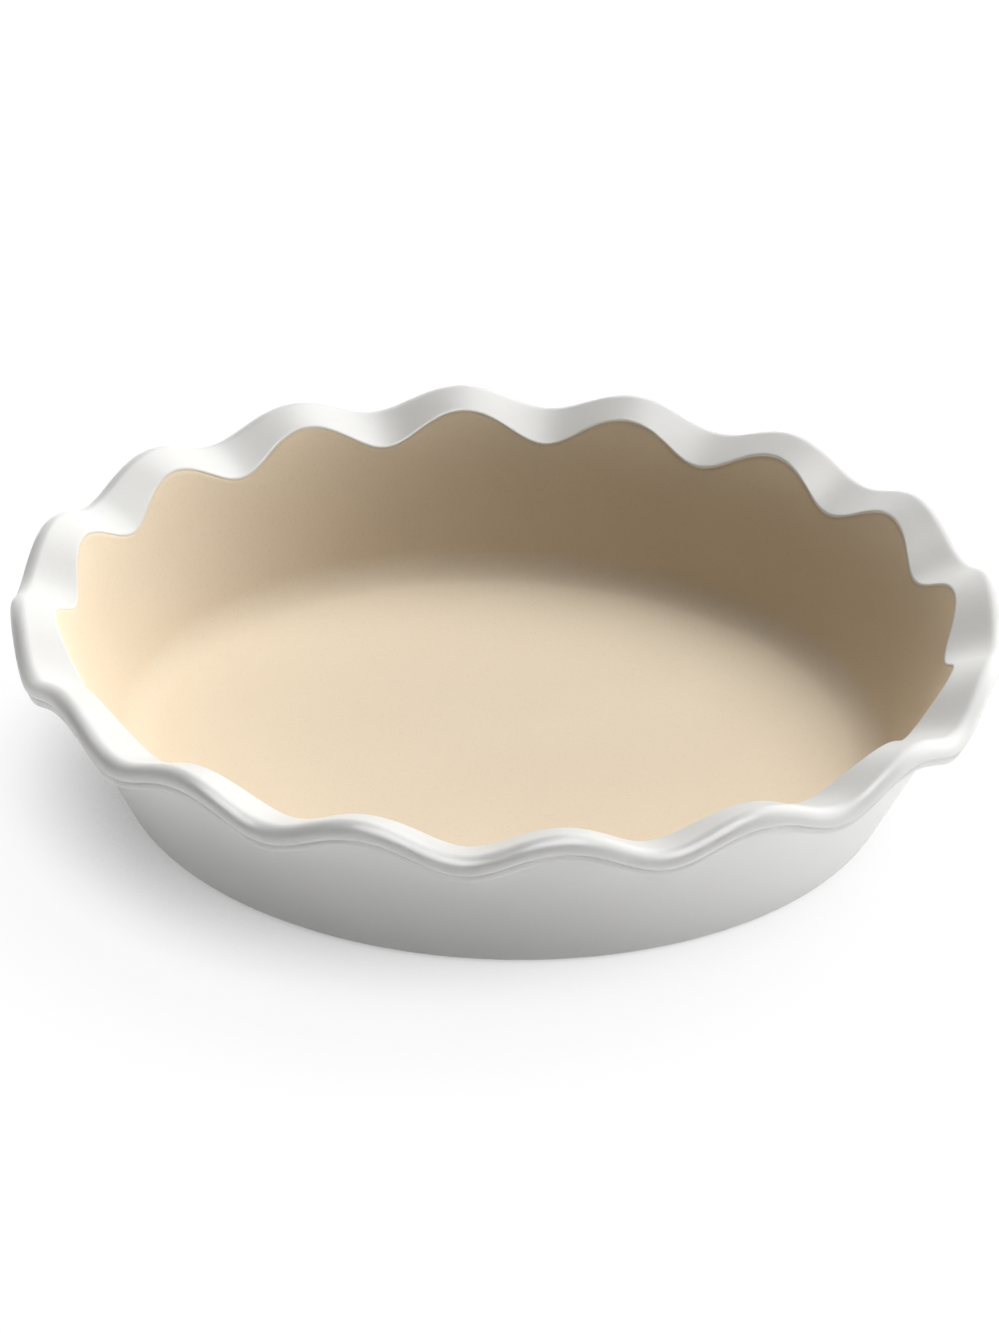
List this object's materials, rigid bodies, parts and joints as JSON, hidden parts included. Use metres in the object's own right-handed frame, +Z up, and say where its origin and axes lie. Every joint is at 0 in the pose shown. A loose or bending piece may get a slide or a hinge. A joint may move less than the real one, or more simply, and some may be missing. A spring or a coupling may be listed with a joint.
{
  "type": "pie dish",
  "caption": "Round stoneware pie dish with a ruffled rim, glazed white outside and over the lip, bare clay inside.",
  "frame": {"origin": "middle of the foot ring's underside, on the table", "axes": "+Z up out of the dish; +X through one crest of the ruffled rim"},
  "size_m": [0.2806, 0.2806, 0.0559],
  "materials": {
    "bare_stoneware": "matte",
    "white_glaze": "gloss"
  },
  "bodies": {
    "root": {"stoneware_body": "bare_stoneware", "outer_glaze": "white_glaze", "base_glaze": "white_glaze"}
  },
  "joints": []
}
